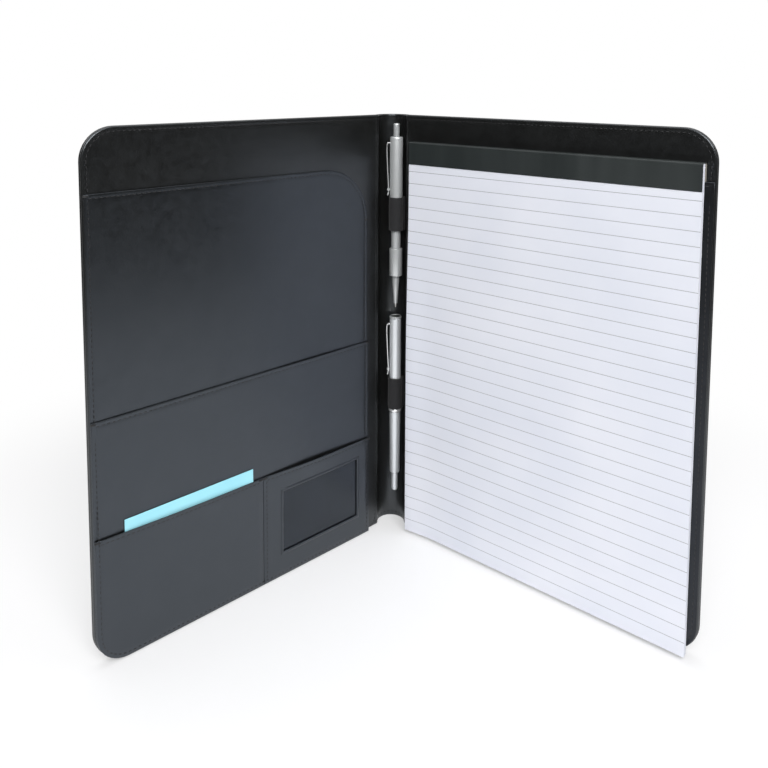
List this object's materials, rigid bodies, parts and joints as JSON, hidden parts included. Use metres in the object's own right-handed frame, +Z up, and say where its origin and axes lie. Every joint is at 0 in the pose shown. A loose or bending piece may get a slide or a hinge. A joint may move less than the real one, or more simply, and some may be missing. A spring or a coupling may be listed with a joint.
{
  "type": "compendium",
  "caption": "Stitched A4 folder that stands open, with document, card and window pockets, a writing pad and two pens in elastic loops in its spine.",
  "frame": {"origin": "middle of the folder's footprint, on the surface that it stands on", "axes": "+X across the opened covers to the pad's side, +Y away from the reader, +Z up"},
  "size_m": [0.364, 0.1638, 0.32],
  "materials": {
    "outer_skin": "smooth semi-gloss leatherette",
    "lining": "smooth semi-gloss leatherette",
    "board": "grey pressed paper board",
    "elastic": "ribbed woven elastic",
    "film": "clear soft film over dark lining",
    "card": "matt pale blue card",
    "paper": "uncoated writing paper with grey rules",
    "greyboard": "grey pressed paper board",
    "binding_strip": "embossed bookbinding paper",
    "satin_metal": "satin silver",
    "bright_metal": "bright chrome",
    "refill_metal": "plain brass",
    "dark_plastic": "moulded black"
  },
  "bodies": {
    "spine": {"spine_skin": "outer_skin", "spine_stiffener": "board", "spine_lining": "lining", "upper_pen_loop": "elastic", "lower_pen_loop": "elastic"},
    "left_cover": {"left_cover_skin": "outer_skin", "left_cover_board": "board", "left_lining": "lining", "document_pocket": "lining", "middle_pocket": "lining", "lower_pocket": "lining", "window_film": "film", "window_frame": "outer_skin"},
    "card": {"card": "card"},
    "right_cover": {"right_cover_skin": "outer_skin", "right_cover_board": "board", "right_lining": "lining", "pad_panel": "lining"},
    "notepad": {"pad_backing": "greyboard", "pad_sheets": "paper", "pad_binding_strip": "binding_strip"},
    "top_page": {"top_page": "paper"},
    "click_pen": {"click_pen_nose": "satin_metal", "click_pen_collar": "satin_metal", "click_pen_neck": "satin_metal", "click_pen_barrel": "satin_metal", "click_pen_spring": "bright_metal"},
    "click_pen_button": {"click_pen_button": "satin_metal", "click_pen_refill": "refill_metal"},
    "click_pen_clip": {"click_pen_clip": "bright_metal"},
    "pen_cap": {"pen_cap": "satin_metal", "pen_cap_disc": "satin_metal", "pen_cap_ring": "bright_metal"},
    "pen_cap_clip": {"pen_cap_clip": "bright_metal"},
    "capped_pen": {"capped_pen_tail": "satin_metal", "capped_pen_barrel": "satin_metal", "capped_pen_grip": "dark_plastic", "capped_pen_point": "refill_metal", "capped_pen_refill": "dark_plastic"}
  },
  "joints": [
    {"name": "left_cover_fold", "type": "hinge", "parent": "spine", "child": "left_cover", "pos_m": [-0.0115, 0.06879, 0.16], "axis": [0, 0, 1], "range_deg": [-41, 49]},
    {"name": "right_cover_fold", "type": "hinge", "parent": "spine", "child": "right_cover", "pos_m": [0.0115, 0.06879, 0.16], "axis": [0, 0, -1], "range_deg": [-41, 49]},
    {"name": "card_slide", "type": "slide", "parent": "left_cover", "child": "card", "axis": [0, 0, 1], "range_m": [0, 0.085]},
    {"name": "notepad_slide", "type": "slide", "parent": "right_cover", "child": "notepad", "axis": [0, 0, 1], "range_m": [0, 0.29]},
    {"name": "page_turn", "type": "hinge", "parent": "notepad", "child": "top_page", "pos_m": [0.0908, -0.01299, 0.28405], "axis": [-0.7547, 0.6561, 0], "range_deg": [0, 165]},
    {"name": "click_pen_slide", "type": "slide", "parent": "spine", "child": "click_pen", "axis": [0, 0, 1], "range_m": [0, 0.09]},
    {"name": "click_pen_press", "type": "slide", "parent": "click_pen", "child": "click_pen_button", "axis": [0, 0, -1], "range_m": [0, 0.004], "stiffness_N_per_m": 150, "springref_m": -0.002, "deforming": ["click_pen_spring"]},
    {"name": "click_pen_clip_flex", "type": "hinge", "parent": "click_pen", "child": "click_pen_clip", "pos_m": [-0.00161, 0.07097, 0.2987], "axis": [0, 1, 0], "range_deg": [0, 3], "stiffness_Nm_per_rad": 0.05, "springref_deg": -2.86},
    {"name": "capped_pen_slide", "type": "slide", "parent": "spine", "child": "pen_cap", "axis": [0, 0, 1], "range_m": [0, 0.006]},
    {"name": "pen_cap_clip_flex", "type": "hinge", "parent": "pen_cap", "child": "pen_cap_clip", "pos_m": [-0.00111, 0.07097, 0.1589], "axis": [0, 1, 0], "range_deg": [0, 3], "stiffness_Nm_per_rad": 0.05, "springref_deg": -2.86},
    {"name": "capped_pen_uncap", "type": "slide", "parent": "pen_cap", "child": "capped_pen", "axis": [0, 0, -1], "range_m": [0, 0.024]}
  ]
}
